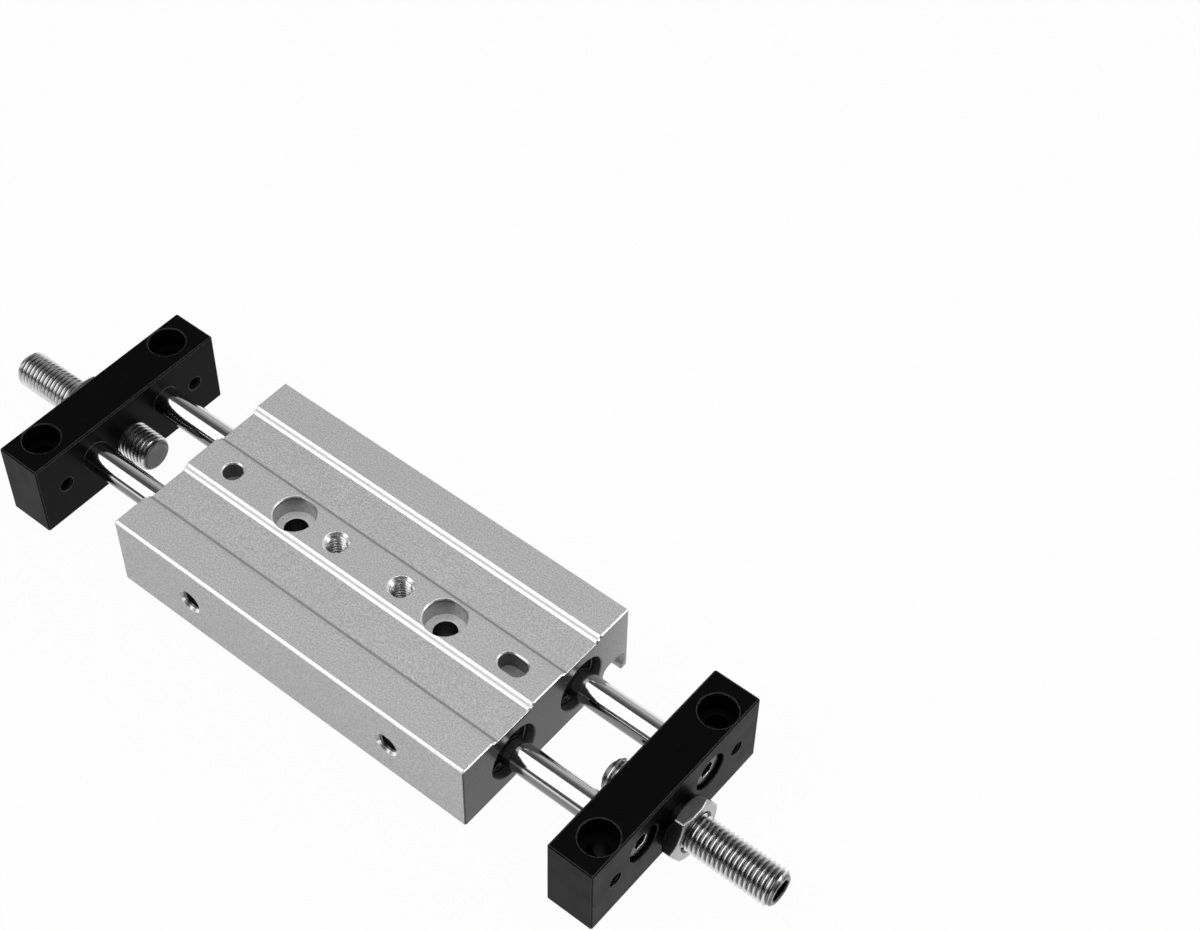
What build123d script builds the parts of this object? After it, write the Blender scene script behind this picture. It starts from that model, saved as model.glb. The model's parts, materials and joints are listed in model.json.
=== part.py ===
from build123d import *
import math
import os

# Twin rod slide cylinder with a rod through both ends of the barrel.
# X runs along the rods, Y across them and Z up. X = 0 is the middle of the barrel at mid stroke,
# Y = 0 is the middle between the two bores and Z = 0 is the underside of the end plates.

# Barrel, a flat extrusion
barrel_length = 86.9
barrel_width = 46.0
barrel_height = 17.3
barrel_lift = 2.5
corner_chamfer = 0.3
end_chamfer = 0.2

# Channels over the bores, between a pad along each side and the rail in the middle, with stepped edges
pad_width = 8.0
rail_width = 8.0
channel_step_width = 0.3
channel_step_depth = 0.57
channel_ledge = 0.65

# Sensor groove along the lower rear edge
groove_wall = 0.9
groove_width = 6.1
groove_depth = 5.2
groove_corner = 1.8
groove_mouth = 4.6
groove_lip_width = 0.75
groove_lip_height = 0.9

# Bores and the seats of the rod covers
bore_side_distance = 13.5
bore_height = 8.2
bore_dia = 10.0
seat_dia = 11.6
cover_space = 15.95
mouth_chamfer = 0.2

# Ends of the travel
stop_clearance = 0.15
inner_overtravel = 1.3

# Screw holes, pin holes and air ports of the barrel
m4_hole_dia = 4.8
m4_counterbore_dia = 8.2
m4_counterbore_depth = 4.4
barrel_bolt_spacing = 37.8
tapped_spacing = 16.2
m5_core_dia = 4.2
tapped_depth = 10.0
pin_dia = 4.0
pin_depth = 4.0
pin_end_distance = 8.25
slot_length = 6.0
rim_chamfer = 0.3
thread_chamfer = 0.55
port_setback = 2.6
port_depth = 6.0
passage_dia = 2.0

# Rods and pistons
rod_dia = 6.0
rod_chamfer = 0.4
piston_length = 22.4
piston_head_length = 15.0
piston_boss_dia = 8.0
piston_chamfer = 0.3
piston_seal_offset = 4.6
piston_seal_width = 1.8
piston_seal_inner_dia = 7.4
magnet_width = 3.0
magnet_inner_dia = 7.4
magnet_outer_dia = 9.5
clip_thickness = 0.7
clip_outer_dia = 7.4
clip_groove_dia = 5.3
clip_mouth = 4.0

# Rod covers and what they hold
snap_recess = 1.8
snap_thickness = 0.8
snap_groove_dia = 12.4
snap_band = 1.1
snap_gap_angle = 46.0
snap_lug_dia = 2.0
snap_lug_hole_dia = 0.9
snap_turn = 215.0
washer_thickness = 0.6
washer_hole_dia = 6.6
cover_throat_dia = 6.5
bush_wall = 0.89
cover_web = 1.85
rod_seal_dia = 9.4
rod_seal_width = 2.2
rod_seal_lip_depth = 0.9
rod_seal_lip_width = 0.5
o_ring_section = 1.0
o_ring_groove_width = 1.3
o_ring_setback = 4.6

# End plates
plate_overhang = 0.75
plate_height = 17.7
plate_thickness = 10.2
plate_chamfer = 0.3
rod_socket_depth = 3.6
rod_screw_pocket_depth = 4.8
rod_screw_pocket_dia = 7.8
plate_bolt_edge_distance = 6.95
plate_bolt_offset = 0.8
plate_counterbore_dia = 7.5
plate_counterbore_depth = 4.6
plate_bolt_hole_dia = 4.5
cross_hole_dia = 3.3
cross_hole_edge_distance = 6.35

# Socket screws that hold the rods
rod_screw_dia = 4.0
rod_screw_hole_dia = 4.4
rod_screw_reach = 8.0
rod_screw_head_dia = 7.0
rod_screw_head_height = 4.0
rod_screw_socket = 3.0
rod_screw_socket_depth = 2.2
head_chamfer = 0.35

# Stop bolts, their bumpers and lock nuts
stop_height = 7.0
stop_bolt_dia = 7.8
stop_bolt_length = 38.0
stop_bolt_chamfer = 0.9
stop_bolt_socket = 4.0
stop_bolt_socket_depth = 5.0
stop_reach_right = 5.05
stop_reach_left = 7.25
bumper_dia = 5.6
bumper_length = 3.2
bumper_proud = 0.6
bumper_chamfer = 0.5
nut_across_flats = 12.0
nut_thickness = 4.3
nut_cone_angle = 30.0
nut_collar_thickness = 1.4
nut_collar_dia = 11.0
nut_bore_chamfer = 0.5

# Clearances
fit_gap = 0.05
running_gap = 0.06
seal_gap = 0.03
axial_gap = 0.1

# Places worked out from the sizes above
barrel_end = barrel_length / 2
barrel_top = barrel_lift + barrel_height
bore_y = barrel_width / 2 - bore_side_distance
bore_z = barrel_lift + bore_height
chamber_end = barrel_end - cover_space
pin_spacing = barrel_length - 2 * pin_end_distance
port_spacing = 2 * (chamber_end - port_setback)
snap_inner = barrel_end - snap_recess - snap_thickness
washer_inner = snap_inner - washer_thickness
piston_half = piston_length / 2
head_half = piston_head_length / 2
half_stroke = chamber_end - piston_half - clip_thickness - axial_gap - inner_overtravel
stop_stand_off = half_stroke + stop_clearance
plate_inner = {"left": barrel_end + stop_stand_off + stop_reach_left,
               "right": barrel_end + stop_stand_off + stop_reach_right}
bumper_face = barrel_end + stop_stand_off
plate_width = barrel_width + 2 * plate_overhang
plate_bolt_spacing = plate_width - 2 * plate_bolt_edge_distance
cross_hole_spacing = plate_width - 2 * cross_hole_edge_distance

ENDS = {"left": -1, "right": 1}
BORES = {"front": -1, "rear": 1}


def across(x):
    """Plane across the rods at x, facing +X, with Y and Z as its own two directions."""
    return Plane(origin=(x, 0, 0), x_dir=(0, 1, 0), z_dir=(1, 0, 0))


def turning_plane(end, y, z):
    """Plane through an axis along the rods, whose first direction points out of the given end."""
    return Plane(origin=(0, y, z), x_dir=(end, 0, 0), z_dir=(0, -end, 0))


def turn(plane):
    """Turn the open sketches about the plane's own axis."""
    revolve(axis=Axis(plane.origin, plane.x_dir))


def finish(piece, name):
    """Label a finished piece and write its file."""
    piece.part.label = name
    export_step(piece.part, f"parts/{name}.step")


def rims(piece, axis, place, radius):
    """Circular edges of one radius at one place along an axis."""
    edges = piece.edges().filter_by(GeomType.CIRCLE).filter_by_position(axis, place - 0.01, place + 0.01)
    return [edge for edge in edges if abs(edge.radius - radius) < 0.01]


os.makedirs("parts", exist_ok=True)

# Barrel: the extruded section with its channels, then every machined feature
with BuildPart() as barrel:
    with BuildSketch(across(-barrel_end)) as section:
        with BuildLine():
            side = barrel_width / 2
            pad_edge = side - pad_width
            rail_edge = rail_width / 2
            run = channel_step_width + channel_ledge
            ledge_z = barrel_top - channel_step_depth
            floor_z = ledge_z - channel_step_depth
            Polyline(
                (0, barrel_lift),
                (side - corner_chamfer, barrel_lift),
                (side, barrel_lift + corner_chamfer),
                (side, barrel_top - corner_chamfer),
                (side - corner_chamfer, barrel_top),
                (pad_edge, barrel_top),
                (pad_edge - channel_step_width, ledge_z),
                (pad_edge - run, ledge_z),
                (pad_edge - run - channel_step_width, floor_z),
                (rail_edge + run + channel_step_width, floor_z),
                (rail_edge + run, ledge_z),
                (rail_edge + channel_step_width, ledge_z),
                (rail_edge, barrel_top),
                (0, barrel_top),
            )
            mirror(about=Plane.YZ)
        make_face()
        groove_y = side - groove_wall - groove_width / 2
        groove_z = barrel_lift + (groove_lip_height + groove_depth) / 2
        mouth_y = side - groove_wall - groove_lip_width - groove_mouth / 2
        groove_inside = groove_depth - groove_lip_height
        with Locations((groove_y, groove_z)):
            RectangleRounded(groove_width, groove_inside, groove_corner, mode=Mode.SUBTRACT)
        with Locations((mouth_y, barrel_lift)):
            Rectangle(groove_mouth, groove_depth, mode=Mode.SUBTRACT)
    extrude(amount=barrel_length)
    for sign in ENDS.values():
        face = barrel.faces().sort_by(Axis.X)[-1 if sign > 0 else 0]
        chamfer(face.outer_wire().edges(), end_chamfer)

    # Bores, seats of the rod covers and grooves of the snap rings
    with BuildSketch(across(-barrel_end)):
        with Locations((-bore_y, bore_z), (bore_y, bore_z)):
            Circle(bore_dia / 2)
    extrude(amount=barrel_length, mode=Mode.SUBTRACT)
    for sign in ENDS.values():
        with BuildSketch(across(sign * chamber_end)):
            with Locations((-bore_y, bore_z), (bore_y, bore_z)):
                Circle(seat_dia / 2)
        extrude(amount=sign * (barrel_end - chamber_end), mode=Mode.SUBTRACT)
        with BuildSketch(across(sign * (snap_inner - axial_gap / 2))):
            with Locations((-bore_y, bore_z), (bore_y, bore_z)):
                Circle(snap_groove_dia / 2)
        extrude(amount=sign * (snap_thickness + axial_gap), mode=Mode.SUBTRACT)
        chamfer(rims(barrel, Axis.X, sign * barrel_end, seat_dia / 2), mouth_chamfer)

    # Fixing holes on the rail between the channels
    bolt_places = [(x, 0, barrel_top) for x in (-barrel_bolt_spacing / 2, barrel_bolt_spacing / 2)]
    with Locations(*bolt_places):
        CounterBoreHole(m4_hole_dia / 2, m4_counterbore_dia / 2, m4_counterbore_depth)
    with Locations((-tapped_spacing / 2, 0, barrel_top), (tapped_spacing / 2, 0, barrel_top)):
        Hole(m5_core_dia / 2, depth=tapped_depth)
    with Locations((-pin_spacing / 2, 0, barrel_top)):
        Hole(pin_dia / 2, depth=pin_depth)
    with BuildSketch(Plane.XY.offset(barrel_top)):
        with Locations((pin_spacing / 2, 0)):
            SlotOverall(slot_length, pin_dia)
    extrude(amount=-pin_depth, mode=Mode.SUBTRACT)
    with Locations(*bolt_places):
        Cone(
            m4_counterbore_dia / 2,
            m4_counterbore_dia / 2 + rim_chamfer,
            rim_chamfer,
            align=(Align.CENTER, Align.CENTER, Align.MAX),
            mode=Mode.SUBTRACT,
        )
    chamfer(rims(barrel, Axis.Z, barrel_lift, m4_hole_dia / 2), rim_chamfer)
    chamfer(rims(barrel, Axis.Z, barrel_top, m5_core_dia / 2), thread_chamfer)
    top_edges = barrel.edges().filter_by_position(Axis.Z, barrel_top - 0.01, barrel_top + 0.01)
    pin_mouths = [
        edge
        for edge in top_edges
        if abs(abs(edge.center().X) - pin_spacing / 2) < slot_length / 2
        and abs(edge.center().Y) < 0.75 * pin_dia
    ]
    chamfer(pin_mouths, rim_chamfer)

    # Air ports on the front side, drilled on through both bores
    port_plane = Plane(origin=(0, -barrel_width / 2, 0), x_dir=(1, 0, 0), z_dir=(0, -1, 0))
    port_places = [(-port_spacing / 2, bore_z), (port_spacing / 2, bore_z)]
    with BuildSketch(port_plane):
        with Locations(*port_places):
            Circle(m5_core_dia / 2)
    extrude(amount=-port_depth, mode=Mode.SUBTRACT)
    with BuildSketch(port_plane):
        with Locations(*port_places):
            Circle(passage_dia / 2)
    extrude(amount=-(barrel_width / 2 + bore_y), mode=Mode.SUBTRACT)
    chamfer(rims(barrel, Axis.Y, -barrel_width / 2, m5_core_dia / 2), thread_chamfer)
finish(barrel, "barrel")

# What closes each of the four bore ends, from the inside out
for bore_name, bore_sign in BORES.items():
    for end_name, end_sign in ENDS.items():
        place = f"{bore_name}_{end_name}"
        plane = turning_plane(end_sign, bore_sign * bore_y, bore_z)
        cover_inner = chamber_end + axial_gap
        cover_outer = washer_inner
        cover_radius = seat_dia / 2 - fit_gap
        bush_length = cover_outer - rod_seal_width - cover_web - cover_inner
        bush_radius = rod_dia / 2 + running_gap + bush_wall
        bush_seat_radius = bush_radius + fit_gap
        o_ring_x = cover_outer - o_ring_setback
        groove_floor = seat_dia / 2 - o_ring_section

        with BuildPart() as rod_cover:
            with BuildSketch(plane):
                with BuildLine():
                    Polyline(
                        (cover_inner, bush_seat_radius),
                        (cover_inner + bush_length, bush_seat_radius),
                        (cover_inner + bush_length, cover_throat_dia / 2),
                        (cover_outer - rod_seal_width, cover_throat_dia / 2),
                        (cover_outer - rod_seal_width, rod_seal_dia / 2),
                        (cover_outer, rod_seal_dia / 2),
                        (cover_outer, cover_radius),
                        (o_ring_x + o_ring_groove_width / 2, cover_radius),
                        (o_ring_x + o_ring_groove_width / 2, groove_floor),
                        (o_ring_x - o_ring_groove_width / 2, groove_floor),
                        (o_ring_x - o_ring_groove_width / 2, cover_radius),
                        (cover_inner + rod_chamfer, cover_radius),
                        (cover_inner, cover_radius - rod_chamfer),
                        close=True,
                    )
                make_face()
            turn(plane)
        finish(rod_cover, f"rod_cover_{place}")

        with BuildPart() as cover_o_ring:
            with BuildSketch(plane):
                with Locations((o_ring_x, seat_dia / 2 - o_ring_section / 2)):
                    RegularPolygon(o_ring_section / 2 - seal_gap, 8, major_radius=False, rotation=22.5)
            turn(plane)
        finish(cover_o_ring, f"cover_o_ring_{place}")

        with BuildPart() as rod_bush:
            with BuildSketch(plane):
                with BuildLine():
                    Polyline(
                        (cover_inner, rod_dia / 2 + running_gap + rod_chamfer / 2),
                        (cover_inner + rod_chamfer / 2, rod_dia / 2 + running_gap),
                        (cover_inner + bush_length - axial_gap, rod_dia / 2 + running_gap),
                        (cover_inner + bush_length - axial_gap, bush_radius),
                        (cover_inner, bush_radius),
                        close=True,
                    )
                make_face()
            turn(plane)
        finish(rod_bush, f"rod_bush_{place}")

        # Cup seal, its lips towards the chamber
        seal_inner = cover_outer - rod_seal_width + axial_gap
        seal_radius = rod_seal_dia / 2 - fit_gap
        lip_radius = rod_dia / 2 + seal_gap
        cup_middle = (seal_radius + lip_radius) / 2
        with BuildPart() as rod_seal:
            with BuildSketch(plane):
                with BuildLine():
                    Polyline(
                        (seal_inner, lip_radius),
                        (cover_outer, lip_radius),
                        (cover_outer, seal_radius),
                        (seal_inner, seal_radius),
                        (seal_inner, seal_radius - rod_seal_lip_width),
                        (seal_inner + rod_seal_lip_depth, cup_middle),
                        (seal_inner, lip_radius + rod_seal_lip_width),
                        close=True,
                    )
                make_face()
            turn(plane)
        finish(rod_seal, f"rod_seal_{place}")

        washer_y = (cover_radius + washer_hole_dia / 2) / 2
        with BuildPart() as seal_washer:
            with BuildSketch(plane):
                with Locations((washer_inner + washer_thickness / 2, washer_y)):
                    Rectangle(washer_thickness, cover_radius - washer_hole_dia / 2)
            turn(plane)
        finish(seal_washer, f"seal_washer_{place}")

        # Snap ring with two plier lugs beside its gap
        snap_radius = snap_groove_dia / 2 - fit_gap
        lug_ring = snap_radius - snap_lug_dia / 2 - snap_band / 3
        ring_plane = across(end_sign * snap_inner)
        with BuildPart() as snap_ring:
            with BuildSketch(ring_plane):
                with Locations((bore_sign * bore_y, bore_z)):
                    Circle(snap_radius)
                    Circle(snap_radius - snap_band, mode=Mode.SUBTRACT)
                with Locations(Location((bore_sign * bore_y, bore_z), snap_turn)):
                    with Locations((snap_radius, 0)):
                        Rectangle(2 * snap_band + snap_lug_dia, snap_lug_dia, mode=Mode.SUBTRACT)
                    with PolarLocations(lug_ring, 2, -snap_gap_angle / 2, snap_gap_angle, endpoint=True):
                        Circle(snap_lug_dia / 2)
                        Circle(snap_lug_hole_dia / 2, mode=Mode.SUBTRACT)
            extrude(amount=end_sign * snap_thickness)
        finish(snap_ring, f"snap_ring_{place}")

# Each rod with its piston, seals, magnet and clips
for bore_name, bore_sign in BORES.items():
    plane = turning_plane(1, bore_sign * bore_y, bore_z)
    rod_left = -(plate_inner["left"] + rod_socket_depth - axial_gap)
    rod_right = plate_inner["right"] + rod_socket_depth - axial_gap
    rod_radius = rod_dia / 2
    clip_in = piston_half + axial_gap / 2
    clip_out = clip_in + clip_thickness

    with BuildPart() as rod:
        with BuildSketch(plane):
            with BuildLine():
                Polyline(
                    (rod_left, 0),
                    (rod_left, rod_radius - rod_chamfer),
                    (rod_left + rod_chamfer, rod_radius),
                    (-clip_out, rod_radius),
                    (-clip_out, clip_groove_dia / 2),
                    (-clip_in, clip_groove_dia / 2),
                    (-clip_in, rod_radius),
                    (clip_in, rod_radius),
                    (clip_in, clip_groove_dia / 2),
                    (clip_out, clip_groove_dia / 2),
                    (clip_out, rod_radius),
                    (rod_right - rod_chamfer, rod_radius),
                    (rod_right, rod_radius - rod_chamfer),
                    (rod_right, 0),
                    close=True,
                )
            make_face()
        turn(plane)
        hole_depth = rod_screw_reach + axial_gap
        for x, sign in ((rod_left, 1), (rod_right, -1)):
            with BuildSketch(across(x)):
                with Locations((bore_sign * bore_y, bore_z)):
                    Circle(rod_screw_dia / 2 + fit_gap)
            extrude(amount=sign * hole_depth, mode=Mode.SUBTRACT)
    finish(rod, f"rod_{bore_name}")

    # Half of the piston's outline, from its middle outwards
    head_radius = bore_dia / 2 - running_gap
    magnet_half = magnet_width / 2 + axial_gap
    seal_a = piston_seal_offset - piston_seal_width / 2 - axial_gap
    seal_b = piston_seal_offset + piston_seal_width / 2 + axial_gap
    with BuildPart() as piston:
        with BuildSketch(plane):
            with BuildLine():
                Polyline(
                    (0, rod_radius + fit_gap),
                    (0, magnet_inner_dia / 2 - fit_gap),
                    (magnet_half, magnet_inner_dia / 2 - fit_gap),
                    (magnet_half, head_radius),
                    (seal_a, head_radius),
                    (seal_a, piston_seal_inner_dia / 2 - fit_gap),
                    (seal_b, piston_seal_inner_dia / 2 - fit_gap),
                    (seal_b, head_radius),
                    (head_half - piston_chamfer, head_radius),
                    (head_half, head_radius - piston_chamfer),
                    (head_half, piston_boss_dia / 2),
                    (piston_half - piston_chamfer, piston_boss_dia / 2),
                    (piston_half, piston_boss_dia / 2 - piston_chamfer),
                    (piston_half, rod_radius + fit_gap),
                    close=True,
                )
            make_face()
            mirror(about=Plane.YZ)
        turn(plane)
    finish(piston, f"piston_{bore_name}")

    with BuildPart() as magnet:
        with BuildSketch(plane):
            with Locations((0, (magnet_inner_dia + magnet_outer_dia) / 4)):
                Rectangle(magnet_width, (magnet_outer_dia - magnet_inner_dia) / 2)
        turn(plane)
    finish(magnet, f"piston_magnet_{bore_name}")

    for end_name, end_sign in ENDS.items():
        seal_plane = turning_plane(end_sign, bore_sign * bore_y, bore_z)
        seal_out = bore_dia / 2 - seal_gap
        seal_in = piston_seal_inner_dia / 2
        cup_middle = (seal_out + seal_in) / 2
        near = piston_seal_offset - piston_seal_width / 2
        far = piston_seal_offset + piston_seal_width / 2
        with BuildPart() as piston_seal:
            with BuildSketch(seal_plane):
                with BuildLine():
                    Polyline(
                        (near, seal_in),
                        (far, seal_in),
                        (far - rod_seal_lip_depth, cup_middle),
                        (far, seal_out),
                        (far - rod_seal_lip_width, seal_out),
                        (near, seal_out - 2 * seal_gap),
                        close=True,
                    )
                make_face()
            turn(seal_plane)
        finish(piston_seal, f"piston_seal_{bore_name}_{end_name}")

    # Two open clips, one against each end of the piston
    with BuildPart() as clips:
        for sign in ENDS.values():
            with BuildSketch(across(sign * (clip_in + fit_gap))):
                with Locations((bore_sign * bore_y, bore_z)):
                    Circle(clip_outer_dia / 2)
                    Circle(clip_groove_dia / 2 + fit_gap, mode=Mode.SUBTRACT)
                with Locations((bore_sign * bore_y, bore_z - clip_outer_dia / 2)):
                    Rectangle(clip_mouth, clip_outer_dia, mode=Mode.SUBTRACT)
            extrude(amount=sign * (clip_thickness - 2 * fit_gap))
    finish(clips, f"piston_clips_{bore_name}")

# End plates and everything that they carry
for end_name, end_sign in ENDS.items():
    inner = plate_inner[end_name]
    outer = inner + plate_thickness
    middle_z = plate_height / 2
    rod_places = [(-bore_y, bore_z), (bore_y, bore_z)]

    with BuildPart() as plate:
        with BuildSketch(across(end_sign * inner)):
            with Locations((0, middle_z)):
                Rectangle(plate_width, plate_height)
        extrude(amount=end_sign * plate_thickness)
        chamfer(plate.edges(), plate_chamfer)
        with BuildSketch(across(end_sign * inner)):
            with Locations(*rod_places):
                Circle(rod_dia / 2 + fit_gap)
        extrude(amount=end_sign * rod_socket_depth, mode=Mode.SUBTRACT)
        with BuildSketch(across(end_sign * outer)):
            with Locations(*rod_places):
                Circle(rod_screw_pocket_dia / 2)
        extrude(amount=-end_sign * rod_screw_pocket_depth, mode=Mode.SUBTRACT)
        with BuildSketch(across(end_sign * inner)):
            with Locations(*rod_places):
                Circle(rod_screw_hole_dia / 2)
            with Locations((0, stop_height)):
                Circle(stop_bolt_dia / 2 + running_gap)
            with Locations((-cross_hole_spacing / 2, middle_z), (cross_hole_spacing / 2, middle_z)):
                Circle(cross_hole_dia / 2)
        extrude(amount=end_sign * plate_thickness, mode=Mode.SUBTRACT)
        bolt_x = end_sign * (inner + plate_thickness / 2 + plate_bolt_offset)
        bolt_y = plate_bolt_spacing / 2
        with Locations((bolt_x, -bolt_y, plate_height), (bolt_x, bolt_y, plate_height)):
            CounterBoreHole(plate_bolt_hole_dia / 2, plate_counterbore_dia / 2, plate_counterbore_depth)
        chamfer(rims(plate, Axis.Z, plate_height, plate_counterbore_dia / 2), rim_chamfer / 2)
        chamfer(rims(plate, Axis.X, end_sign * outer, rod_screw_pocket_dia / 2), rim_chamfer / 2)
    finish(plate, f"end_plate_{end_name}")

    # The two socket screws, one into each rod
    head_inner = inner + plate_thickness - rod_screw_pocket_depth
    head_outer = head_inner + rod_screw_head_height
    tip = inner + rod_socket_depth - rod_screw_reach
    with BuildPart() as rod_screws:
        for bore_sign in BORES.values():
            plane = turning_plane(end_sign, bore_sign * bore_y, bore_z)
            with BuildSketch(plane):
                with BuildLine():
                    Polyline(
                        (tip, 0),
                        (tip, rod_screw_dia / 2 - head_chamfer),
                        (tip + head_chamfer, rod_screw_dia / 2),
                        (head_inner, rod_screw_dia / 2),
                        (head_inner, rod_screw_head_dia / 2),
                        (head_outer - head_chamfer, rod_screw_head_dia / 2),
                        (head_outer, rod_screw_head_dia / 2 - head_chamfer),
                        (head_outer, 0),
                        close=True,
                    )
                make_face()
            turn(plane)
            with BuildSketch(across(end_sign * head_outer)):
                with Locations((bore_sign * bore_y, bore_z)):
                    RegularPolygon(rod_screw_socket / 2, 6, major_radius=False)
            extrude(amount=-end_sign * rod_screw_socket_depth, mode=Mode.SUBTRACT)
    finish(rod_screws, f"rod_screws_{end_name}")

    # Lock nut: a round collar against the plate, then a hexagon cut by a cone at each face
    stop_plane = turning_plane(end_sign, 0, stop_height)
    nut_corner = nut_across_flats / 2 / math.cos(math.pi / 6)
    cone_drop = (nut_corner - nut_across_flats / 2) * math.tan(math.radians(nut_cone_angle))
    with BuildPart() as lock_nut:
        with BuildSketch(across(end_sign * outer)):
            with Locations((0, stop_height)):
                RegularPolygon(nut_across_flats / 2, 6, major_radius=False)
                Circle(stop_bolt_dia / 2 + running_gap, mode=Mode.SUBTRACT)
        extrude(amount=end_sign * nut_thickness)
        with BuildSketch(stop_plane):
            with BuildLine():
                Polyline(
                    (outer, 0),
                    (outer, nut_collar_dia / 2),
                    (outer + nut_collar_thickness, nut_collar_dia / 2),
                    (outer + nut_collar_thickness, nut_across_flats / 2),
                    (outer + nut_collar_thickness + cone_drop, nut_corner),
                    (outer + nut_thickness - cone_drop, nut_corner),
                    (outer + nut_thickness, nut_across_flats / 2),
                    (outer + nut_thickness, 0),
                    close=True,
                )
            make_face()
        revolve(axis=Axis(stop_plane.origin, stop_plane.x_dir), mode=Mode.INTERSECT)
        for x in (outer, outer + nut_thickness):
            chamfer(rims(lock_nut, Axis.X, end_sign * x, stop_bolt_dia / 2 + running_gap), nut_bore_chamfer)
    finish(lock_nut, f"lock_nut_{end_name}")

    # Stop bolt: a long set screw with a hexagon socket outside and a pocket for its bumper inside
    nose = bumper_face + bumper_proud
    bolt_end = bumper_face + stop_bolt_length
    bolt_radius = stop_bolt_dia / 2
    pocket_floor = bumper_face + bumper_length + axial_gap
    with BuildPart() as stop_bolt:
        with BuildSketch(stop_plane):
            with BuildLine():
                Polyline(
                    (pocket_floor, 0),
                    (pocket_floor, bumper_dia / 2 + fit_gap),
                    (nose, bumper_dia / 2 + fit_gap),
                    (nose, bolt_radius - stop_bolt_chamfer),
                    (nose + stop_bolt_chamfer, bolt_radius),
                    (bolt_end - stop_bolt_chamfer, bolt_radius),
                    (bolt_end, bolt_radius - stop_bolt_chamfer),
                    (bolt_end, 0),
                    close=True,
                )
            make_face()
        turn(stop_plane)
        with BuildSketch(across(end_sign * bolt_end)):
            with Locations((0, stop_height)):
                RegularPolygon(stop_bolt_socket / 2, 6, major_radius=False)
        extrude(amount=-end_sign * stop_bolt_socket_depth, mode=Mode.SUBTRACT)
    finish(stop_bolt, f"stop_bolt_{end_name}")

    with BuildPart() as bumper:
        with BuildSketch(stop_plane):
            with BuildLine():
                Polyline(
                    (bumper_face, 0),
                    (bumper_face, bumper_dia / 2 - bumper_chamfer),
                    (bumper_face + bumper_chamfer, bumper_dia / 2),
                    (bumper_face + bumper_length, bumper_dia / 2),
                    (bumper_face + bumper_length, 0),
                    close=True,
                )
            make_face()
        turn(stop_plane)
    finish(bumper, f"stop_bumper_{end_name}")
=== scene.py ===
import json
import math
from types import SimpleNamespace

import bmesh
import bpy
from mathutils import Matrix, Vector


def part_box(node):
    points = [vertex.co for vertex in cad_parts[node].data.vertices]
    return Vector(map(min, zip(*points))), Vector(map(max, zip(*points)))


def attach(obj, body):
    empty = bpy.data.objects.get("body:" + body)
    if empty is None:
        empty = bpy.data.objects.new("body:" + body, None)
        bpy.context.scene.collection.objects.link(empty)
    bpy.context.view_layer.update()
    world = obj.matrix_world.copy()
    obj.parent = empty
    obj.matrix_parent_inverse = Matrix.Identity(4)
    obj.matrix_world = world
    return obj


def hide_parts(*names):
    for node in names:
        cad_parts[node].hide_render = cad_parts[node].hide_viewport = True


# Looks for the twin rod slide cylinder: metres, X along the rods, Z up.
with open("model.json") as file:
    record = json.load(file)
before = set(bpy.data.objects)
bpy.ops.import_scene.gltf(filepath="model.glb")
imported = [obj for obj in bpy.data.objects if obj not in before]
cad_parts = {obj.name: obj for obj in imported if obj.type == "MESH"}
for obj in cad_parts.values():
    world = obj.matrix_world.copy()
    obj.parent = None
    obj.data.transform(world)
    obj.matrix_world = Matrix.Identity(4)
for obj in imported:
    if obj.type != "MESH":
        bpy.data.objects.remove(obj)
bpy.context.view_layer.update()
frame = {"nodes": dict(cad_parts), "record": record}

MM = 0.001
ENDS = {"left": -1, "right": 1}
BORES = {"front": -1, "rear": 1}
MOUNTS = {mount["name"]: mount for mount in frame["record"]["mounts"]}


def middle(node):
    """Centre of a node's box."""
    low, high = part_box(node)
    return (low + high) / 2


def radius_of(node):
    """Half the width of a node across the rods."""
    low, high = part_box(node)
    return (high.y - low.y) / 2


# Places that come from the frame
barrel_low, barrel_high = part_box("barrel")
BARREL_END = barrel_high.x
BARREL_SIDE = barrel_high.y
BARREL_TOP = barrel_high.z
BARREL_MIDDLE = (barrel_high.z + barrel_low.z) / 2
BARREL_HALF_HEIGHT = (barrel_high.z - barrel_low.z) / 2
BORE_Y = middle("rod_rear").y
BORE_Z = middle("rod_rear").z
STOP_Z = middle("stop_bolt_right").z

# Edges and channels of the barrel
EDGE_BAND = 1.2 * MM
ROLLED_BAND = 0.62 * MM
LEDGE_DEPTH = 0.57 * MM
CHANNEL_HALF = 5.5 * MM
STEP_TOP = 0.3 * MM
STEP_FOOT = 1.1 * MM
STEP_FOOT_HALF = 0.15 * MM
STEP_FOOT_FADE = 0.6 * MM
LEVEL_PLAY = 0.1 * MM
END_BAND = 0.5 * MM

# Holes of the barrel
RAIL_INSIDE = 3.95 * MM
RIM_DEPTH = 0.25 * MM
BOLT_HOLE_START = 4.45 * MM
PIN_HOLES_START = 30 * MM
PORT_CONE = 0.6 * MM
PORT_DARK_START = 0.55 * MM
PORT_ZONE = 5 * MM
PORT_TOP_DEPTH = 4 * MM
SNAP_RECESS = 1.8 * MM
BORE_ZONE = 6.3 * MM

# Limits for the share of a surface's direction that goes along one axis
LEVEL = 0.97
NEARLY_LEVEL = 0.9
TILTED = 0.93
STEP_SLOPE = 0.8
LEANING = 0.3

# Threads, sockets and the nuts' collars
M8_PITCH = 1.0 * MM
M8_DEPTH = 0.58 * MM
M8_CREST_PLAY = 0.1 * MM
THREAD_CREST = radius_of("stop_bolt_right") - M8_CREST_PLAY
SOCKET_ACROSS = 4.0 * MM
SOCKET_SHADE_RADIUS = 2.48 * MM
COLLAR_FADE_START = 5.55 * MM
COLLAR_FADE_END = 5.7 * MM

# Noise keeps mostly to this range
NOISE_RANGE = (0.3, 0.7)

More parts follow.
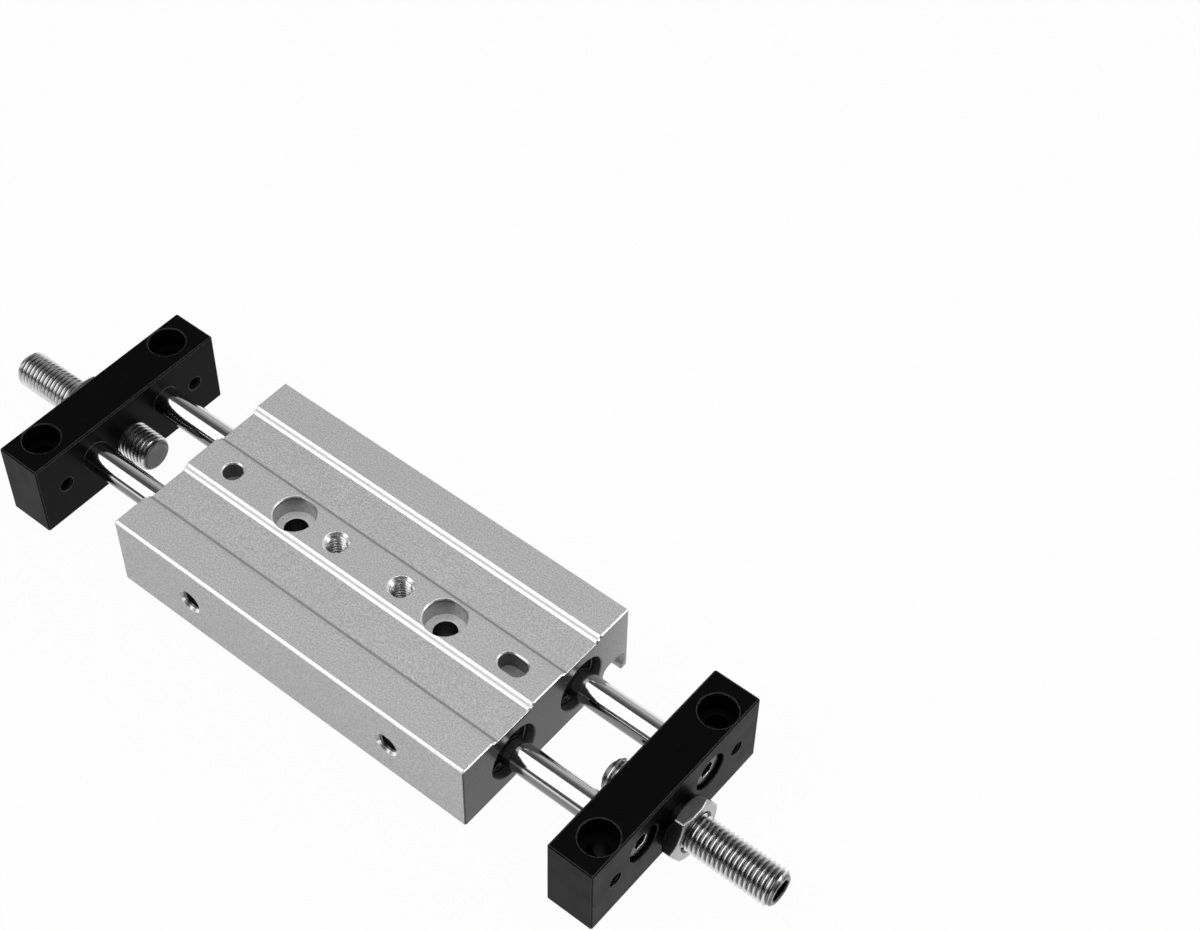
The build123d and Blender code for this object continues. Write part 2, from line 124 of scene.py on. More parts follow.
# How nearly the rounded normal agrees with the real one, on open faces and at worn edges
WEAR_RANGE = (0.98, 0.8)


# Materials

def add_node(tree, kind, inputs, **settings):
    """Adds a node whose inputs are linked to sockets or set to values."""
    made = tree.nodes.new(kind)
    for key, value in settings.items():
        setattr(made, key, value)
    for key, value in inputs.items():
        if isinstance(value, bpy.types.NodeSocket):
            tree.links.new(value, made.inputs[key])
        else:
            made.inputs[key].default_value = value
    return made


class Paint:
    """A node material that is built up from small named steps."""

    def __init__(self, name):
        self.material = bpy.data.materials.new(name)
        self.material.use_nodes = True
        self.tree = self.material.node_tree
        self.shader = self.tree.nodes["Principled BSDF"]
        coords = self.tree.nodes.new("ShaderNodeTexCoord")
        self.place = coords.outputs["Object"]
        self.normal = coords.outputs["Normal"]

    def node(self, kind, inputs, output=0, **settings):
        """An output of a new node."""
        return add_node(self.tree, kind, inputs, **settings).outputs[output]

    def math(self, operation, *values):
        return self.node("ShaderNodeMath", dict(enumerate(values)), operation=operation)

    def vector_math(self, operation, *values, output=0):
        return self.node("ShaderNodeVectorMath", dict(enumerate(values)), output, operation=operation)

    def split(self, vector):
        """The three numbers of a vector."""
        return add_node(self.tree, "ShaderNodeSeparateXYZ", {0: vector}).outputs

    def distance(self, across, up):
        """The distance from an axis, by its two parts."""
        squares = self.math("ADD", self.math("POWER", across, 2.0), self.math("POWER", up, 2.0))
        return self.math("SQRT", squares)

    def above(self, value, limit):
        return self.math("GREATER_THAN", value, limit)

    def below(self, value, limit):
        return self.math("LESS_THAN", value, limit)

    def between(self, value, low, high):
        return self.math("MULTIPLY", self.above(value, low), self.below(value, high))

    def every(self, *masks):
        """1 where all the masks are 1."""
        result = masks[0]
        for mask in masks[1:]:
            result = self.math("MULTIPLY", result, mask)
        return result

    def either(self, *masks):
        """1 where any of the masks is 1."""
        result = masks[0]
        for mask in masks[1:]:
            result = self.math("MAXIMUM", result, mask)
        return result

    def without(self, mask):
        """1 where the mask is 0."""
        return self.math("SUBTRACT", 1.0, mask)

    def scaled(self, factors):
        """The place with each direction multiplied by its own factor."""
        return self.vector_math("MULTIPLY", self.place, factors)

    def noise(self, size, detail=2.0, rough=0.5, where=None):
        """Noise whose grains are about the given size."""
        where = self.place if where is None else where
        inputs = {"Vector": where, "Scale": 1 / size, "Detail": detail, "Roughness": rough}
        return self.node("ShaderNodeTexNoise", inputs)

    def steps(self, value, low, high, to_low=0.0, to_high=1.0):
        """The value's share of the range from low to high, held inside to_low and to_high."""
        inputs = {"Value": value, "From Min": low, "From Max": high, "To Min": to_low, "To Max": to_high}
        return self.node("ShaderNodeMapRange", inputs)

    def spread(self, noise, low, high):
        """A number that varies with a noise."""
        return self.steps(noise, *NOISE_RANGE, low, high)

    def speckle(self, noise, dark, light):
        """A colour that varies with a noise."""
        return self.both(self.steps(noise, *NOISE_RANGE), dark, light)

    def both(self, share, first, second):
        """A colour between two others."""
        made = self.tree.nodes.new("ShaderNodeMix")
        made.data_type = "RGBA"
        for socket, value in ((made.inputs[0], share), (made.inputs[6], first), (made.inputs[7], second)):
            if isinstance(value, bpy.types.NodeSocket):
                self.tree.links.new(value, socket)
            elif hasattr(value, "__len__"):
                socket.default_value = (*value, 1.0)
            else:
                socket.default_value = value
        return made.outputs[2]

    def rounded(self, width):
        """The normal as if sharp edges were rounded over a width."""
        return self.node("ShaderNodeBevel", {"Radius": width}, samples=6)

    def bump(self, height, strength, distance, normal=None):
        inputs = {"Height": height, "Strength": strength, "Distance": distance}
        if normal is not None:
            inputs["Normal"] = normal
        return self.node("ShaderNodeBump", inputs)

    def wear(self, width):
        """1 at sharp edges, 0 on open faces."""
        geometry = self.tree.nodes.new("ShaderNodeNewGeometry")
        same = self.vector_math("DOT_PRODUCT", self.rounded(width), geometry.outputs["Normal"], output=1)
        return self.steps(same, *WEAR_RANGE)

    def set(self, **values):
        """Sets or links the shader's own sockets, named with underscores for spaces."""
        for key, value in values.items():
            socket = self.shader.inputs[key.replace("_", " ")]
            if isinstance(value, bpy.types.NodeSocket):
                self.tree.links.new(value, socket)
            else:
                socket.default_value = value
        return self.material


def grey(value, warm=0.0):
    """A near neutral colour."""
    return (value * (1 + warm), value, value * (1 - warm))


def barrel_values(p):
    """Places and directions on the barrel. along, out and the directions have no sign."""
    x, y, z = p.split(p.place)
    nx, ny, nz = (p.math("ABSOLUTE", part) for part in p.split(p.normal))
    return SimpleNamespace(y=y, z=z, nx=nx, ny=ny, nz=nz, along=p.math("ABSOLUTE", x),
                           out=p.math("ABSOLUTE", y), depth=p.math("SUBTRACT", BARREL_TOP, z))


def edge_zones(p, at):
    """Masks of the long edges, the channels' steps and ledges, the front upper corner and the end faces."""
    off_middle = p.math("ABSOLUTE", p.math("SUBTRACT", at.z, BARREL_MIDDLE))
    near_faces = p.above(off_middle, BARREL_HALF_HEIGHT - EDGE_BAND)
    port_rim = p.every(p.below(at.y, PORT_CONE - BARREL_SIDE), p.below(off_middle, PORT_ZONE))
    tilted = p.below(p.either(at.nx, at.ny, at.nz), TILTED)
    edge = p.every(tilted, p.above(at.nz, LEANING), p.either(near_faces, port_rim))
    level = p.above(at.nz, LEVEL)

    # Steps that face the rear: on the rail's side of the rear channel, on the pad's side of the front one
    faces_rear = p.math("COMPARE", p.below(at.out, BORE_Y), p.above(at.y, 0.0), 0.5)
    into_channel = p.math("SUBTRACT", CHANNEL_HALF, p.math("ABSOLUTE", p.math("SUBTRACT", at.out, BORE_Y)))
    from_foot = p.math("ABSOLUTE", p.math("SUBTRACT", into_channel, STEP_FOOT))
    foot = p.steps(from_foot, STEP_FOOT_HALF, STEP_FOOT_FADE, 1.0, 0.0)
    on_ledge = p.between(at.depth, LEDGE_DEPTH - LEVEL_PLAY, LEDGE_DEPTH + LEVEL_PLAY)
    return SimpleNamespace(
        edge=edge,
        # Painted light on the ledges of the steps that face the front
        painted_lit_ledge=p.every(level, on_ledge, p.without(faces_rear)),
        # Painted shadow along the foot of the steps that face the rear
        painted_step_shadow=p.every(foot, faces_rear, level, p.between(at.depth, STEP_TOP, EDGE_BAND)),
        step_slope=p.every(edge, p.above(at.ny, STEP_SLOPE)),
        rolled_corner=p.every(p.below(at.y, ROLLED_BAND - BARREL_SIDE), level, p.below(at.depth, LEVEL_PLAY)),
        end_face=p.every(p.above(at.along, BARREL_END - END_BAND), p.above(at.nx, LEANING), p.without(edge)))


def hole_zones(p, at, edge, end_face):
    """Masks of the holes on the rail, the air ports and the bores."""
    short_of_ends = p.below(at.along, BARREL_END - MM)
    on_rail = p.every(p.below(at.out, RAIL_INSIDE), short_of_ends)
    in_hole = p.every(on_rail, p.above(at.depth, RIM_DEPTH), p.without(edge))
    from_bore = p.distance(p.math("SUBTRACT", at.out, BORE_Y), p.math("SUBTRACT", at.z, BORE_Z))
    in_bore = p.every(p.below(from_bore, BORE_ZONE), p.without(end_face))
    behind_face = p.between(at.y, PORT_DARK_START - BARREL_SIDE, -BORE_Y - BORE_ZONE)
    return SimpleNamespace(
        on_rail=on_rail,
        in_hole=in_hole,
        in_pin_hole=p.every(in_hole, p.above(at.along, PIN_HOLES_START)),
        hole_floor=p.every(in_hole, p.above(at.nz, NEARLY_LEVEL)),
        in_bolt_hole=p.every(on_rail, p.above(at.depth, BOLT_HOLE_START)),
        in_port=p.every(behind_face, p.above(at.depth, PORT_TOP_DEPTH), short_of_ends),
        in_bore=in_bore,
        in_mouth=p.every(in_bore, p.above(at.along, BARREL_END - SNAP_RECESS)))


def blasted_aluminium():
    """Fine blasted and clear anodised skin with bright machined edges and grey holes, and painted shade in
    the bores, ports and pin holes.
    """
    p = Paint("barrel_skin")
    at = barrel_values(p)
    edges = edge_zones(p, at)
    holes = hole_zones(p, at, edges.edge, edges.end_face)
    grain = p.noise(0.3 * MM, detail=3.0, rough=0.75)
    patches = p.spread(p.noise(9 * MM), 0.0, 0.2)

    # The end faces are sawn, with upright strokes, and a painted reflection makes them lighter towards the
    # rear
    strokes = p.noise(0.12 * MM, where=p.scaled((1.0, 1.0, 0.04)))
    cut_face_and_painted_reflection = p.both(p.steps(at.y, 3 * MM, 22 * MM), grey(0.005), grey(0.33))
    cut_face_and_painted_reflection = p.both(p.spread(strokes, 0.0, 0.15), cut_face_and_painted_reflection, grey(0.16))

    # The holes' walls have turning marks, and are darker near the top
    turning = p.noise(0.1 * MM, where=p.scaled((0.1, 0.1, 1.0)))
    wall = p.speckle(turning, grey(0.36), grey(0.52))
    wall = p.both(p.steps(at.depth, 0.3 * MM, 1.1 * MM), grey(0.1), wall)

    skin = p.both(p.steps(grain, 0.4, 0.6), grey(0.44), grey(0.76))
    layers = ((patches, grey(0.5, 0.01)),
              # Sawn end faces, with the painted reflection lighter towards the rear
              (edges.end_face, cut_face_and_painted_reflection),
              (holes.in_hole, wall),
              (holes.hole_floor, grey(0.85)),
              # Painted shade: the pin holes are darker copies of the other holes
              (holes.in_pin_hole, p.both(holes.hole_floor, grey(0.14), grey(0.34))),
              # Painted light on the ledges of the steps that face the front
              (edges.painted_lit_ledge, grey(0.88)),
              # Painted shadow along the foot of the steps that face the rear
              (edges.painted_step_shadow, grey(0.24)),
              (edges.rolled_corner, grey(0.75)),
              (edges.edge, grey(0.93)),
              # Painted shade in the air ports, the bolt holes, the bores and the bores' mouths
              (holes.in_port, grey(0.08)),
              (p.either(holes.in_bolt_hole, holes.in_bore), grey(0.012)),
              (holes.in_mouth, grey(0.12)))
    for mask, colour in layers:
        skin = p.both(mask, skin, colour)

    smooth = p.either(edges.edge, edges.end_face, holes.in_hole, edges.rolled_corner)
    rough = p.math("ADD", p.spread(grain, 0.46, 0.56), p.math("MULTIPLY", smooth, -0.22))
    height = p.every(grain, p.without(smooth))
    faces_front = p.below(p.split(p.normal)[1], -0.2)
    polished = p.every(edges.edge, p.either(faces_front, p.without(holes.on_rail)))
    polished = p.either(polished, edges.rolled_corner)

    # The rolled corner's normal leans to the front, and that of the steps' slopes leans up
    lean = p.node("ShaderNodeCombineXYZ", {"Y": p.math("MULTIPLY", edges.rolled_corner, -0.55),
                                           "Z": p.math("MULTIPLY", edges.step_slope, 0.42)})
    normal = p.vector_math("NORMALIZE", p.vector_math("ADD", p.rounded(0.25 * MM), lean))
    return p.set(Base_Color=skin, Metallic=p.steps(polished, 0.0, 1.0, 0.3, 1.0), Roughness=rough,
                 Normal=p.bump(height, 0.4, 0.02 * MM, normal))


def inside_plate(p, end):
    """1 in an end plate's middle, where its holes are, and 0 near its outer edges."""
    x, y, z = p.split(p.place)
    low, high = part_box(f"end_plate_{end}")
    side_margin = 0.5 * MM
    top_margin = 1.0 * MM
    return p.every(p.between(x, low.x + side_margin, high.x - side_margin),
                   p.between(z, low.z + top_margin, high.z - top_margin),
                   p.below(p.math("ABSOLUTE", y), high.y - side_margin))


def black_anodised():
    """Deep black satin skin whose outer edges catch the light."""
    p = Paint("plate_skin")
    grain = p.noise(0.15 * MM, detail=3.0)
    edge = p.every(p.wear(0.25 * MM), p.without(p.either(*(inside_plate(p, end) for end in ENDS))))
    base = p.both(p.steps(grain, 0.35, 0.65), grey(0.0015), grey(0.0035))
    return p.set(Base_Color=p.both(edge, base, grey(0.24)), Specular_IOR_Level=0.05,
                 Roughness=p.spread(p.noise(4 * MM), 0.34, 0.42), Normal=p.bump(grain, 0.12, 0.01 * MM))


def ground_chrome():
    """Hard chrome with the faintest lines of the grinding wheel, with painted shade on the rod's sides and
    underneath.
    """
    p = Paint("rod_chrome")
    lines = p.noise(0.1 * MM, where=p.scaled((1.0, 0.02, 0.02)))
    rough = p.math("ADD", p.spread(p.noise(6 * MM), 0.07, 0.11), p.math("MULTIPLY", lines, 0.03))
    # Painted shade where the rod's surface faces sideways or down
    painted_shade_side = p.steps(p.split(p.normal)[2], 0.5, 0.38)
    tint = p.both(painted_shade_side, p.speckle(lines, grey(0.74), grey(0.82)), grey(0.2))
    return p.set(Base_Color=tint, Metallic=1.0, Roughness=rough)


def from_stop_axis(p):
    """The distance from the stop bolts' axis."""
    y, z = p.split(p.place)[1:]
    return p.distance(y, p.math("SUBTRACT", z, STOP_Z))


def rolled_thread():
    """Bright rolled crests over valleys with painted shade, and a socket darkened by painted shade."""
    p = Paint("bright_thread")
    out = from_stop_axis(p)
    crest = p.steps(out, THREAD_CREST - M8_DEPTH, THREAD_CREST)
    grain = p.noise(0.2 * MM, detail=3.0, where=p.scaled((1.0, 0.2, 0.2)))
    # Painted shade darkens the valleys between the crests
    base = p.both(p.steps(crest, 0.0, 0.6), grey(0.16), p.speckle(grain, grey(0.62), grey(0.8)))
    # Painted shade darkens the socket and the pocket near the axis
    base = p.both(p.below(out, SOCKET_SHADE_RADIUS), base, grey(0.03))
    return p.set(Base_Color=base, Metallic=1.0, Roughness=p.spread(grain, 0.18, 0.28))


def nut_steel():
    """Steel with rolled corners, and painted shade on the flats at the front and on the collar against the
    plate.
    """
    p = Paint("dark_nut")
    along, across = p.split(p.normal)[:2]
    grain = p.noise(0.3 * MM, detail=3.0)
    flats = p.speckle(p.noise(2.5 * MM), grey(0.34), grey(0.44))
    # Painted shade on the flats that face the front
    flats = p.both(p.steps(across, -0.5, -0.8), flats, grey(0.1))
    past_collar = p.steps(from_stop_axis(p), COLLAR_FADE_START, COLLAR_FADE_END)
    # Painted shade on the collar against the plate
    base = p.both(past_collar, p.speckle(grain, grey(0.02), grey(0.04)), flats)
    base = p.both(p.above(p.math("ABSOLUTE", along), NEARLY_LEVEL), base, grey(0.38))
    base = p.both(p.wear(0.45 * MM), base, grey(0.9))
    return p.set(Base_Color=base, Metallic=1.0, Roughness=0.24, Normal=p.rounded(0.5 * MM))


def metal(name, dark, light, rough_low, rough_high, grain_size=0.3 * MM, grain_shape=(1.0, 1.0, 1.0),
          edge_light=None, edge_width=0.15 * MM):
    """Metal with a fine grain, and bright rounded edges where their colour is given."""
    p = Paint(name)
    grain = p.noise(grain_size, detail=3.0, where=p.scaled(grain_shape))
    base = p.speckle(grain, dark, light)
    normal = None
    if edge_light is not None:
        base = p.both(p.wear(edge_width), base, edge_light)
        normal = p.rounded(edge_width)
    return p.set(Base_Color=base, Metallic=1.0,
                 Roughness=p.spread(p.noise(2.5 * MM), rough_low, rough_high),
                 Normal=p.bump(grain, 0.15, 0.01 * MM, normal))


def moulded(name, dark, light, rough_low, rough_high):
    """Rubber or plastic with a fine moulded grain."""
    p = Paint(name)
    grain = p.noise(0.12 * MM)
    return p.set(Base_Color=p.speckle(p.noise(1.5 * MM), dark, light),
                 Roughness=p.spread(grain, rough_low, rough_high), Normal=p.bump(grain, 0.25, 0.01 * MM))


# Shapes of the grain, where a small number draws it out in that direction
TURNED = (1.0, 0.05, 0.05)
DRAWN = (0.2, 1.0, 1.0)

LOOKS = {
    "barrel_aluminium": blasted_aluminium(),
    "black_anodised": black_anodised(),
    "hard_chrome": ground_chrome(),
    "piston_aluminium": metal("turned_piston", grey(0.45), grey(0.6), 0.25, 0.35, grain_shape=TURNED),
    # Painted shade: the cover deep in the bore mouth is nearly black
    "cover_aluminium": metal("cover_painted_shade", grey(0.05), grey(0.1), 0.3, 0.4, grain_shape=TURNED),
    "magnet": moulded("bonded_magnet", grey(0.03), grey(0.05), 0.5, 0.65),
    "spring_steel": metal("phosphated_spring", grey(0.05), grey(0.09), 0.35, 0.5,
                          grain_size=0.1 * MM, edge_light=grey(0.5)),
    "seal_rubber": moulded("black_rubber", grey(0.012), grey(0.02), 0.45, 0.6),
    "bronze": metal("sintered_bronze", (0.28, 0.17, 0.07), (0.42, 0.27, 0.12), 0.45, 0.6,
                    grain_size=0.08 * MM),
    # Painted shade: the washer deep in the bore mouth is dark
    "zinc_plate": metal("washer_painted_shade", grey(0.06), grey(0.1), 0.3, 0.42),
    # Painted dark reflection: the heads' faces are dark as if they reflected dark surroundings, and their
    # rounded edges are bright
    "plated_screw": metal("nickel_head_painted_dark", grey(0.07), grey(0.14), 0.2, 0.3,
                          grain_shape=DRAWN, edge_light=grey(0.95), edge_width=0.3 * MM),
    "nut_steel": nut_steel(),
    "bolt_steel": rolled_thread(),
    "urethane": moulded("urethane", grey(0.2), grey(0.28), 0.4, 0.55),
}
TAPPED_LOOK = metal("tapped_thread", grey(0.55), grey(0.8), 0.2, 0.3)
# Painted shade: the port's threads are a darker copy of the tapped threads
PORT_SHADE_LOOK = metal("port_ridges_painted_shade", grey(0.1), grey(0.2), 0.25, 0.35)

for part in frame["record"]["subparts"]:
    for holder in frame["nodes"][part["node"]].material_slots:
        holder.material = LOOKS[part["material_slot"]]


# Shapes made in mesh code
MERGE_DISTANCE = 0.0005 * MM
SHARP_ANGLE = math.radians(35.0)
TIP_RADIUS = 0.05 * MM


def piece(name, shape, slot, body, place, look=None):
    """Turns a finished bmesh into an object that rides on a body."""
    mesh = bpy.data.meshes.new(name)
    bmesh.ops.transform(shape, matrix=place, verts=shape.verts)
    bmesh.ops.remove_doubles(shape, verts=shape.verts, dist=MERGE_DISTANCE)
    bmesh.ops.recalc_face_normals(shape, faces=shape.faces)
    for edge in shape.edges:
        edge.smooth = len(edge.link_faces) == 2 and edge.calc_face_angle(0.0) < SHARP_ANGLE
    for face in shape.faces:
        face.smooth = True
    shape.to_mesh(mesh)
    shape.free()
    made = bpy.data.objects.new(name, mesh)
    bpy.context.scene.collection.objects.link(made)
    made.data.materials.append(look or LOOKS[slot])
    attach(made, body)
    return made


def ring(shape, x, radii):
    """A ring of points round the X axis, with one radius for each angle."""
    count = len(radii)
    angles = (2 * math.pi * i / count for i in range(count))
    return [shape.verts.new((x, r * math.cos(a), r * math.sin(a))) for a, r in zip(angles, radii)]


def skin_between(shape, first, second):
    """Faces between two rings with the same number of points."""
    count = len(first)
    for i in range(count):
        j = (i + 1) % count
        shape.faces.new((first[i], first[j], second[j], second[i]))


def hexagon(across_flats, count):
    """Radii of a hexagon with its corners to the sides."""
    radii = []
    for i in range(count):
        turn = math.degrees(2 * math.pi * i / count) % 60 - 30
        radii.append(across_flats / 2 / math.cos(math.radians(turn)))
    return radii


def thread(shape, start, end, crest, root, pitch, leads, points=72):
    """A right-handed thread round the X axis, cut off square at both ends.

    The crest of an outside thread starts below its full height by the lead at each end. In an inside
    thread the crest is nearer to the axis than the root, and rises from the root at each end. The
    profile gives a radius at some shares of the pitch.
    """
    profile = ((0.0, root), (0.2, root), (0.47, crest), (0.66, crest), (0.93, root))
    turns = math.ceil((end - start) / pitch) + 1
    rows = []
    for k in range(-points, turns * points + 1):
        angle = 2 * math.pi * k / points
        row = []
        for share, radius in profile:
            x = min(max(start + pitch * (k / points + share), start), end)
            if crest > root:
                r = min(radius, crest - leads[0] + x - start, crest - leads[1] + end - x)
            else:
                r = max(radius, root - min(x - start, end - x))
            row.append(shape.verts.new((x, r * math.cos(angle), r * math.sin(angle))))
        rows.append(row)
    last = len(profile) - 1
    for k in range(len(rows) - 1):
        here, ahead = rows[k], rows[k + 1]
        for j in range(last):
            shape.faces.new((here[j], here[j + 1], ahead[j + 1], ahead[j]))
        if k + points + 1 < len(rows):
            nearby, further = rows[k + points], rows[k + points + 1]
            shape.faces.new((here[last], nearby[0], further[0], ahead[last]))


def socket_end(shape, x, inward, rim, hole, bevel, floor_depth, cone_depth):
    """A flat end with a hole of any outline, its wall and a conical floor.

    inward is the direction into the piece, 1 or -1 along X, and hole holds a radius for each angle.
    """
    count = len(hole)
    outer = ring(shape, x, [rim] * count)
    lip = ring(shape, x, [r + bevel for r in hole])
    mouth = ring(shape, x + inward * bevel, hole)
    bottom = ring(shape, x + inward * floor_depth, hole)
    tip = ring(shape, x + inward * (floor_depth + cone_depth), [TIP_RADIUS] * count)
    skin_between(shape, outer, lip)
    skin_between(shape, lip, mouth)
    skin_between(shape, mouth, bottom)
    skin_between(shape, bottom, tip)


# Stop bolts with real threads, a socket outside and the bumper's pocket inside
OUTER_LEAD = 0.85 * MM
INNER_LEAD = 0.55 * MM
RIM_POINTS = 72
SOCKET_BEVEL = 0.25 * MM
SOCKET_DEPTH = 5 * MM
SOCKET_CONE = 1 * MM
POCKET_PLAY = 0.06 * MM
POCKET_BEVEL = 0.1 * MM
POCKET_DEPTH = 3 * MM
POCKET_CONE = 0.3 * MM


def threaded_stop_bolt(end, sign):
    """One stop bolt, whose socket is at the outer end of the whole unit."""
    node = f"stop_bolt_{end}"
    low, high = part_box(node)
    outside, inside = (high.x, low.x) if sign > 0 else (low.x, high.x)
    leads = (INNER_LEAD, OUTER_LEAD) if sign > 0 else (OUTER_LEAD, INNER_LEAD)
    socket = hexagon(SOCKET_ACROSS, RIM_POINTS)
    pocket = [radius_of(f"stop_bumper_{end}") + POCKET_PLAY] * RIM_POINTS
    shape = bmesh.new()
    thread(shape, low.x, high.x, THREAD_CREST, THREAD_CREST - M8_DEPTH, M8_PITCH, leads)
    socket_end(shape, outside, -sign, THREAD_CREST - OUTER_LEAD, socket,
               SOCKET_BEVEL, SOCKET_DEPTH, SOCKET_CONE)
    socket_end(shape, inside, sign, THREAD_CREST - INNER_LEAD, pocket,
               POCKET_BEVEL, POCKET_DEPTH, POCKET_CONE)
    bolt = piece(f"{node}_threaded", shape, "bolt_steel", f"{node}_unit", Matrix.Translation((0, 0, STOP_Z)))
    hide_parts(node)


# Threads of the tapped holes, placed by the record's mounts
MOUTH_CONE = 0.5 * MM
M5 = {"pitch": 0.8 * MM, "ridge": 0.3 * MM}
M4 = {"pitch": 0.7 * MM, "ridge": 0.25 * MM}
FIXING_DEPTH = 6 * MM
PORT_DEPTH = 4.5 * MM
CROSS_MARGIN = 0.1 * MM
WALL_PLAY = 0.02 * MM


def tapped(name, mouth, direction, radius, depth, size, slot, body, look=None):
    """The ridges of an inside thread in a hole that goes into a piece from its mouth."""
    shape = bmesh.new()
    wall = radius - WALL_PLAY
    thread(shape, 0.0, depth, wall - size["ridge"], wall, size["pitch"], (0.0, 0.0), points=36)
    turn = Vector(direction).to_track_quat("X", "Z").to_matrix().to_4x4()
    piece(name, shape, slot, body, Matrix.Translation(mouth) @ turn, look)


def barrel_threads(end, sign):
    """The threads of one fixing hole on the rail and of one air port."""
    fixing = MOUNTS["body_tapped_holes"]["dims"]
    mouth = Vector((sign * fixing["spacing_x_mm"] / 2 * MM, 0, BARREL_TOP - MOUTH_CONE))
    tapped(f"fixing_thread_{end}", mouth, (0, 0, -1), fixing["hole_r_mm"] * MM, FIXING_DEPTH, M5,
           "barrel_aluminium", "barrel_unit", TAPPED_LOOK)
    port = MOUNTS[f"port_{end}"]
    mouth = Vector((port["pos_m"][0], MOUTH_CONE - BARREL_SIDE, port["pos_m"][2]))
    tapped(f"port_ridges_painted_shade_{end}", mouth, (0, 1, 0), port["dims"]["r_mm"] * MM, PORT_DEPTH, M5,
           "barrel_aluminium", "barrel_unit", PORT_SHADE_LOOK)


def plate_threads(end):
    """The threads of the two cross holes through an end plate."""
    cross = MOUNTS[f"plate_{end}_cross_holes"]
    low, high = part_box(f"end_plate_{end}")
    for bore, side in BORES.items():
        off_middle = side * cross["dims"]["spacing_x_mm"] / 2 * MM
        mouth = Vector((low.x + CROSS_MARGIN, off_middle, cross["pos_m"][2]))
        tapped(f"cross_thread_{bore}_{end}", mouth, (1, 0, 0), cross["dims"]["hole_r_mm"] * MM,
               high.x - low.x - 2 * CROSS_MARGIN, M4, "black_anodised", "rod_frame")


for end, sign in ENDS.items():
    threaded_stop_bolt(end, sign)

for end, sign in ENDS.items():
    barrel_threads(end, sign)
    plate_threads(end)


# Floor, light and camera
WHITE = (1, 1, 1, 1)
FLOOR_HALF = 3.0
FLOOR_DROP = 0.02 * MM
FLOOR_SHADE = 0.03
WORLD_DIM = 0.08
WORLD_BRIGHT = 0.52


def light_material(name, shade_share):
    """White to the camera, to mirrors and through glass, with a share of real shade left in."""
    made = bpy.data.materials.new(name)
    made.use_nodes = True
    tree = made.node_tree
    tree.nodes.clear()
    path = tree.nodes.new("ShaderNodeLightPath").outputs
    seen = add_node(tree, "ShaderNodeMath", {0: path["Is Camera Ray"], 1: path["Is Glossy Ray"]},
                    operation="MAXIMUM")
    seen = add_node(tree, "ShaderNodeMath", {0: seen.outputs[0], 1: path["Is Transmission Ray"]},
                    operation="MAXIMUM")
    share = add_node(tree, "ShaderNodeMath", {0: seen.outputs[0], 1: 1 - shade_share}, operation="MULTIPLY")
    diffuse = add_node(tree, "ShaderNodeBsdfDiffuse", {"Color": (0.8, 0.8, 0.8, 1)})
    glow = add_node(tree, "ShaderNodeEmission", {"Color": WHITE})
    surface = add_node(tree, "ShaderNodeMixShader", {0: share.outputs[0], 1: diffuse.outputs[0],
                                                     2: glow.outputs[0]})
    add_node(tree, "ShaderNodeOutputMaterial", {"Surface": surface.outputs[0]})
    return made


floor_mesh = bpy.data.meshes.new("floor")
sides = ((-1, -1), (1, -1), (1, 1), (-1, 1))
corners = [(x * FLOOR_HALF, y * FLOOR_HALF, -FLOOR_DROP) for x, y in sides]
floor_mesh.from_pydata(corners, [], [(0, 1, 2, 3)])
floor = bpy.data.objects.new("floor", floor_mesh)
bpy.context.scene.collection.objects.link(floor)
floor.data.materials.append(light_material("white_floor", FLOOR_SHADE))

scene = bpy.context.scene
scene.view_settings.view_transform = "Standard"


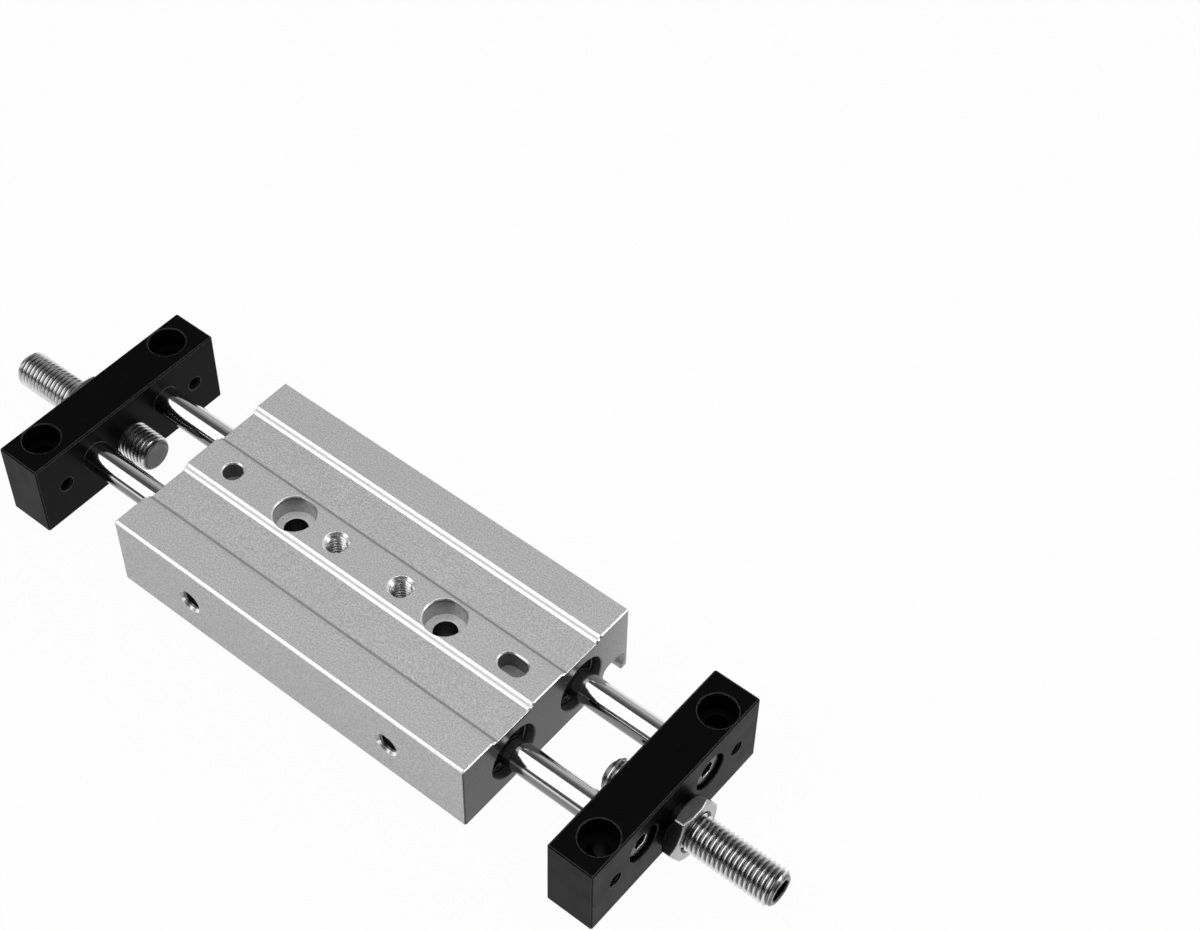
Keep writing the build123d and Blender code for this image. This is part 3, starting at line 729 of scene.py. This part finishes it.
def studio_world():
    """White to the camera. To the object it is dark overhead and in front, and brighter behind."""
    world = bpy.data.worlds.new("studio")
    world.use_nodes = True
    tree = world.node_tree
    path = tree.nodes.new("ShaderNodeLightPath").outputs
    direction = tree.nodes.new("ShaderNodeTexCoord").outputs["Generated"]
    parts = add_node(tree, "ShaderNodeSeparateXYZ", {0: direction}).outputs
    ceiling = add_node(tree, "ShaderNodeMapRange", {"Value": parts["Z"], "From Min": 0.45, "From Max": 0.75,
                                                    "To Min": WORLD_BRIGHT, "To Max": WORLD_DIM})
    wall = add_node(tree, "ShaderNodeMapRange", {"Value": parts["Y"], "From Min": -0.1, "From Max": 0.3,
                                                 "To Min": WORLD_DIM, "To Max": ceiling.outputs[0]})
    strength = add_node(tree, "ShaderNodeMapRange", {"Value": path["Is Camera Ray"],
                                                     "To Min": wall.outputs[0], "To Max": 1.0})
    background = tree.nodes["Background"]
    background.inputs["Color"].default_value = WHITE
    tree.links.new(strength.outputs[0], background.inputs["Strength"])
    return world


scene.world = studio_world()


def softbox(name, direction, distance, width, height, watts):
    """A soft rectangular lamp that looks at the object from a direction."""
    lamp = bpy.data.lights.new(name, "AREA")
    lamp.shape = "RECTANGLE"
    lamp.size = width
    lamp.size_y = height
    lamp.energy = watts
    made = bpy.data.objects.new(name, lamp)
    bpy.context.scene.collection.objects.link(made)
    towards = Vector(direction).normalized()
    made.location = towards * distance
    made.rotation_mode = "QUATERNION"
    made.rotation_quaternion = towards.to_track_quat("Z", "Y")


softbox("key_front_left", (-0.396, -0.459, 0.795), distance=1.1, width=0.9, height=1.5, watts=6.4)
softbox("top_near", (0.25, 0.1, 0.96), distance=1.2, width=0.8, height=0.5, watts=4.4)
softbox("end_glint", (0.766, 0.515, 0.386), distance=1.1, width=0.45, height=0.45, watts=2.2)

# The photograph's view: seen from the front right and above, with a slight roll
CAMERA_PLACE = Vector((192.12, -177.99, 356.16)) * MM
AZIMUTH = math.radians(37.871)
ELEVATION = math.radians(49.813)
ROLL = math.radians(1.562)
SENSOR = 36.0
FOCAL_PIXELS = 2288.82
IMAGE_WIDTH = 1200

camera_data = bpy.data.cameras.new("camera")
camera_data.sensor_width = SENSOR
camera_data.sensor_fit = "HORIZONTAL"
camera_data.lens = FOCAL_PIXELS / IMAGE_WIDTH * SENSOR
camera_data.clip_start = 0.01
camera_data.clip_end = 20.0
camera = bpy.data.objects.new("camera", camera_data)
scene.collection.objects.link(camera)
turn_up = Matrix.Rotation(math.pi / 2 - ELEVATION, 4, "X")
turn_round = Matrix.Rotation(AZIMUTH, 4, "Z")
camera.matrix_world = Matrix.Translation(CAMERA_PLACE) @ turn_round @ turn_up @ Matrix.Rotation(ROLL, 4, "Z")
scene.camera = camera
